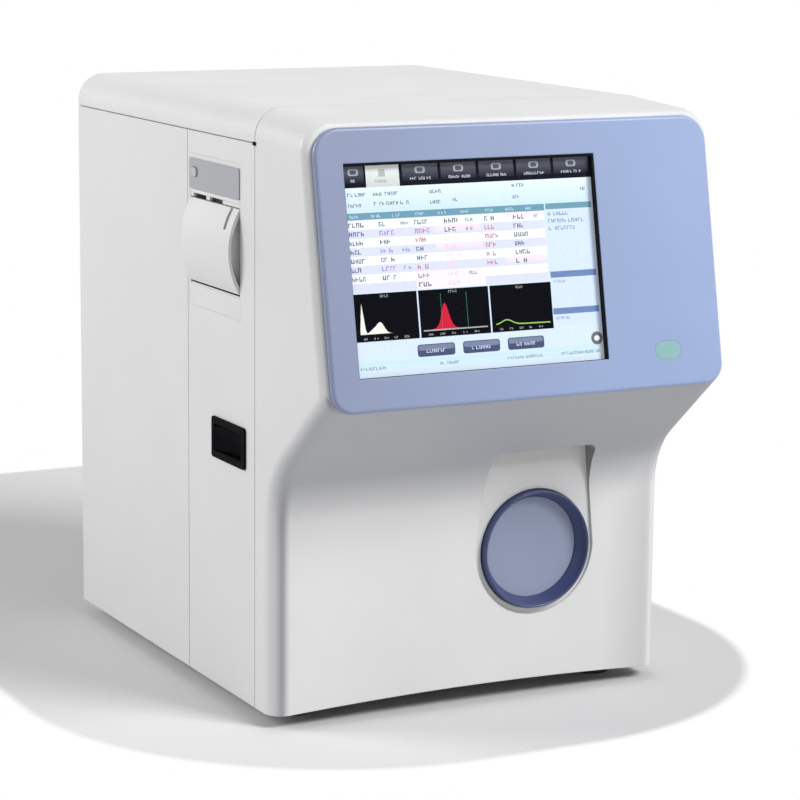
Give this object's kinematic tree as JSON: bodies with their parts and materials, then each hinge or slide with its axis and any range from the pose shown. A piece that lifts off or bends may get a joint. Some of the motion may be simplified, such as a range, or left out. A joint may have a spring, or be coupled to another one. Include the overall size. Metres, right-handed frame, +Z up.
{
  "type": "bench-top differential cell counter",
  "caption": "Compact bench-top blood cell counter with a tilted touch screen, a round aspirate key under an overhang, a side printer and a service door.",
  "frame": {"origin": "under the middle of the bounding box, on the bench that the feet rest on", "axes": "+X to the right of a person facing the screen, +Y from the front to the rear, +Z up"},
  "size_m": [0.308, 0.438, 0.41],
  "materials": {
    "zinc_steel": "zinc plated sheet",
    "rubber": "matt moulded rubber",
    "shell_white": "fine matt texture",
    "panel_blue": "satin",
    "gasket_black": "matt",
    "screen_glass": "clear",
    "display_lit": "lit",
    "status_green": "translucent",
    "cover_white": "fine texture paint",
    "bright_steel": "bright",
    "rear_grey": "paint",
    "key_navy": "satin",
    "key_grey": "matt",
    "spring_steel": "drawn wire",
    "black_plastic": "matt",
    "fascia_grey": "matt",
    "feed_pale": "matt",
    "door_white": "matt",
    "platen_rubber": "ground rubber",
    "nylon_gear": "nylon",
    "head_metal": "satin",
    "paper_white": "thermal paper",
    "rocker_black": "satin",
    "ground_steel": "ground",
    "milled_aluminium": "milled",
    "clear_plastic": "polished",
    "belt_rubber": "matt",
    "motor_dark": "black paint",
    "bath_plastic": "polished resin",
    "barrel_glass": "clear",
    "plunger_steel": "ground",
    "valve_plastic": "moulded",
    "tank_plastic": "moulded",
    "pump_dark": "paint",
    "board_green": "solder mask",
    "socket_metal": "tinned",
    "supply_steel": "sheet",
    "fan_black": "matt",
    "port_plastic": "moulded"
  },
  "bodies": {
    "body": {"base_pan": "zinc_steel", "rubber_feet": "rubber", "front_shell": "shell_white", "screen_bezel": "panel_blue", "screen_gasket": "gasket_black", "touch_glass": "screen_glass", "lcd_module": "display_lit", "status_lens": "status_green", "top_cover": "cover_white", "left_front_panel": "cover_white", "left_rear_panel": "cover_white", "right_panel": "cover_white", "rear_panel": "rear_grey", "mid_frame": "zinc_steel", "key_spring": "spring_steel", "key_bracket": "zinc_steel", "key_switch": "black_plastic", "printer_frame": "shell_white", "printer_fascia": "fascia_grey", "print_head": "head_metal", "switch_frame": "black_plastic", "probe_rails": "ground_steel", "carriage_belt": "belt_rubber", "carriage_motor": "motor_dark", "wbc_bath": "bath_plastic", "rbc_bath": "bath_plastic", "syringe_frame": "milled_aluminium", "syringe_barrels": "barrel_glass", "syringe_motor": "motor_dark", "valve_bank": "valve_plastic", "vacuum_tank": "tank_plastic", "air_pump": "pump_dark", "main_board": "board_green", "data_sockets": "socket_metal", "power_supply": "supply_steel", "fan_housing": "black_plastic", "mains_inlet": "black_plastic", "reagent_ports": "port_plastic"},
    "aspirate_key": {"key_rim": "key_navy", "key_face": "key_grey"},
    "rocker": {"switch_rocker": "rocker_black"},
    "printer_door": {"printer_door": "door_white"},
    "platen": {"platen_roller": "platen_rubber", "platen_gear": "nylon_gear"},
    "printer_drive": {"drive_gear": "nylon_gear"},
    "paper": {"paper_roll": "paper_white"},
    "paper_feed_key": {"feed_key": "feed_pale"},
    "carriage": {"carriage_block": "milled_aluminium", "probe_wipe": "clear_plastic"},
    "probe": {"probe_lifter": "milled_aluminium", "sample_probe": "bright_steel"},
    "motor_pulley": {"drive_pulley": "milled_aluminium"},
    "rear_pulley": {"idler_pulley": "milled_aluminium"},
    "plungers": {"syringe_plungers": "plunger_steel", "syringe_crosshead": "milled_aluminium"},
    "screw": {"lead_screw": "ground_steel"},
    "fan": {"fan_rotor": "fan_black"},
    "side_door": {"service_door": "cover_white"},
    "latch": {"door_latch": "bright_steel"}
  },
  "joints": [
    {"name": "aspirate_key_press", "type": "slide", "parent": "body", "child": "aspirate_key", "axis": [0, 1, 0], "range_m": [0, 0.004], "stiffness_N_per_m": 300, "springref_m": -0.004, "deforming": ["key_spring"]},
    {"name": "rocker_tilt", "type": "hinge", "parent": "body", "child": "rocker", "pos_m": [-0.141, -0.06981, 0.1825], "axis": [0, 0, 1], "range_deg": [-16, 0]},
    {"name": "printer_door_swing", "type": "hinge", "parent": "body", "child": "printer_door", "pos_m": [-0.143, -0.04606, 0.288], "axis": [0, -1, 0], "range_deg": [0, 70]},
    {"name": "platen_spin", "type": "hinge", "parent": "printer_door", "child": "platen", "pos_m": [-0.1385, -0.04606, 0.3315], "axis": [0, 1, 0], "continuous": true},
    {"name": "drive_gear_spin", "type": "hinge", "parent": "body", "child": "printer_drive", "pos_m": [-0.12465, -0.04606, 0.3315], "axis": [0, 1, 0], "continuous": true},
    {"name": "paper_roll_spin", "type": "hinge", "parent": "body", "child": "paper", "pos_m": [-0.115, -0.04606, 0.304], "axis": [0, 1, 0], "continuous": true},
    {"name": "feed_key_press", "type": "slide", "parent": "body", "child": "paper_feed_key", "axis": [1, 0, 0], "range_m": [0, 0.0008], "stiffness_N_per_m": 300, "springref_m": -0.001},
    {"name": "carriage_travel", "type": "slide", "parent": "body", "child": "carriage", "axis": [0, 1, 0], "range_m": [0, 0.18]},
    {"name": "probe_lift", "type": "slide", "parent": "carriage", "child": "probe", "axis": [0, 0, 1], "range_m": [-0.062, 0]},
    {"name": "drive_pulley_spin", "type": "hinge", "parent": "body", "child": "motor_pulley", "pos_m": [0.004, -0.10596, 0.264], "axis": [1, 0, 0], "continuous": true},
    {"name": "idler_pulley_spin", "type": "hinge", "parent": "body", "child": "rear_pulley", "pos_m": [0.004, 0.10204, 0.264], "axis": [1, 0, 0], "continuous": true},
    {"name": "syringe_draw", "type": "slide", "parent": "body", "child": "plungers", "axis": [0, 0, 1], "range_m": [-0.038, 0]},
    {"name": "lead_screw_spin", "type": "hinge", "parent": "body", "child": "screw", "pos_m": [0.12, -0.02296, 0.08], "axis": [0, 0, 1], "continuous": true},
    {"name": "fan_spin", "type": "hinge", "parent": "body", "child": "fan", "pos_m": [-0.082, 0.19204, 0.298], "axis": [0, 1, 0], "continuous": true},
    {"name": "service_door_swing", "type": "hinge", "parent": "body", "child": "side_door", "pos_m": [0.151, 0.18404, 0.199], "axis": [0, 0, 1], "range_deg": [0, 95]},
    {"name": "latch_turn", "type": "hinge", "parent": "side_door", "child": "latch", "pos_m": [0.153, -0.07996, 0.2], "axis": [1, 0, 0], "range_deg": [0, 90]}
  ],
  "couplings": [
    {"joint": "drive_gear_spin", "follows": "platen_spin", "ratio": -0.7},
    {"joint": "paper_roll_spin", "follows": "platen_spin", "ratio": 0.23684},
    {"joint": "drive_pulley_spin", "follows": "carriage_travel", "rad_per_m": -111.11},
    {"joint": "idler_pulley_spin", "follows": "carriage_travel", "rad_per_m": -111.11},
    {"joint": "lead_screw_spin", "follows": "syringe_draw", "rad_per_m": 785.4}
  ]
}
